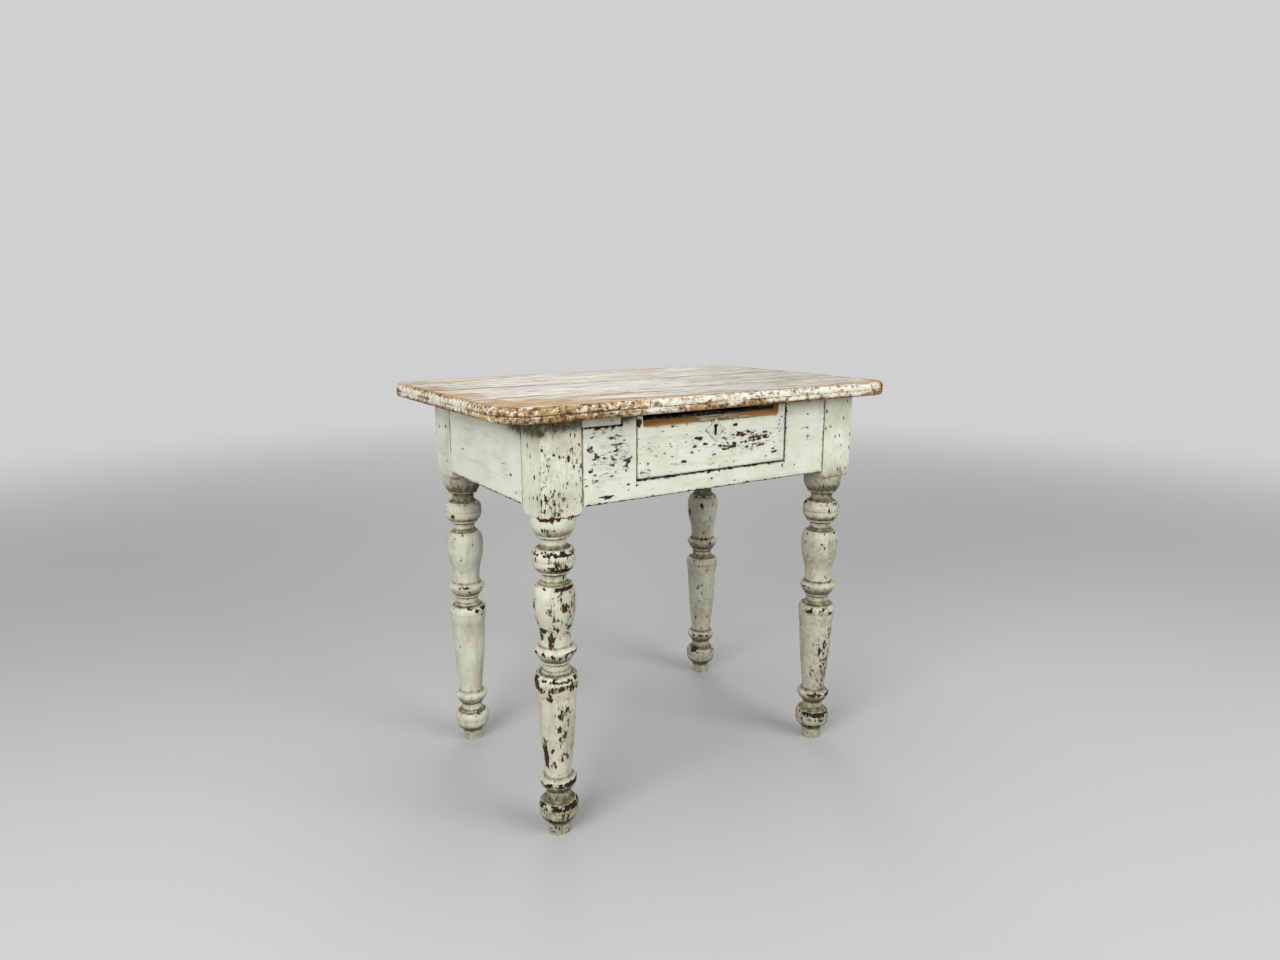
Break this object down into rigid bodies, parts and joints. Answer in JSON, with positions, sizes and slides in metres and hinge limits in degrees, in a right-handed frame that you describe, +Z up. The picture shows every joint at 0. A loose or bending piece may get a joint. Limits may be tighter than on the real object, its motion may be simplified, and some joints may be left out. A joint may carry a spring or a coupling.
{
  "type": "kitchen table with drawer",
  "caption": "Small antique painted pine kitchen table on turned legs, with a worn moulded plank top and a dovetailed, lockable drawer that slides out of the front apron.",
  "frame": {"origin": "on the floor, below the centre of the table top", "axes": "+X along the length of the table to the right of someone facing the drawer, +Y from the drawer front to the back, +Z up"},
  "size_m": [0.851, 0.552, 0.77],
  "materials": {
    "painted_pine": "chipped, faded paint",
    "top_pine": "worn paint over bare wood",
    "bare_pine": "aged, unfinished",
    "painted_plate": "painted over",
    "iron": "aged, dark"
  },
  "bodies": {
    "table": {"top_board_front": "top_pine", "top_board_mid_front": "top_pine", "top_board_mid_back": "top_pine", "top_board_back": "top_pine", "leg_front_left": "painted_pine", "leg_front_right": "painted_pine", "leg_back_left": "painted_pine", "leg_back_right": "painted_pine", "front_apron": "painted_pine", "back_apron": "painted_pine", "left_apron": "painted_pine", "right_apron": "painted_pine", "apron_patch": "painted_pine", "tenon_pegs": "painted_pine", "drawer_runner_left": "bare_pine", "drawer_runner_right": "bare_pine", "drawer_guide_left": "bare_pine", "drawer_guide_right": "bare_pine", "kicker_left": "bare_pine", "kicker_right": "bare_pine", "glue_blocks": "bare_pine", "kicker_screws": "iron"},
    "drawer": {"drawer_front": "painted_pine", "drawer_side_left": "bare_pine", "drawer_side_right": "bare_pine", "drawer_back": "bare_pine", "drawer_bottom_front": "bare_pine", "drawer_bottom_middle": "bare_pine", "drawer_bottom_rear": "bare_pine", "bottom_nails": "iron", "escutcheon": "painted_plate", "lock_plate": "iron", "lock_case": "iron", "lock_post": "iron", "lock_screws": "iron"},
    "lock_bolt": {"lock_bolt": "iron"}
  },
  "joints": [
    {"name": "drawer_slide", "type": "slide", "parent": "table", "child": "drawer", "axis": [0, -1, 0], "range_m": [0, 0.33]},
    {"name": "lock_bolt_slide", "type": "slide", "parent": "drawer", "child": "lock_bolt", "axis": [0, 0, 1], "range_m": [0, 0.018]}
  ]
}
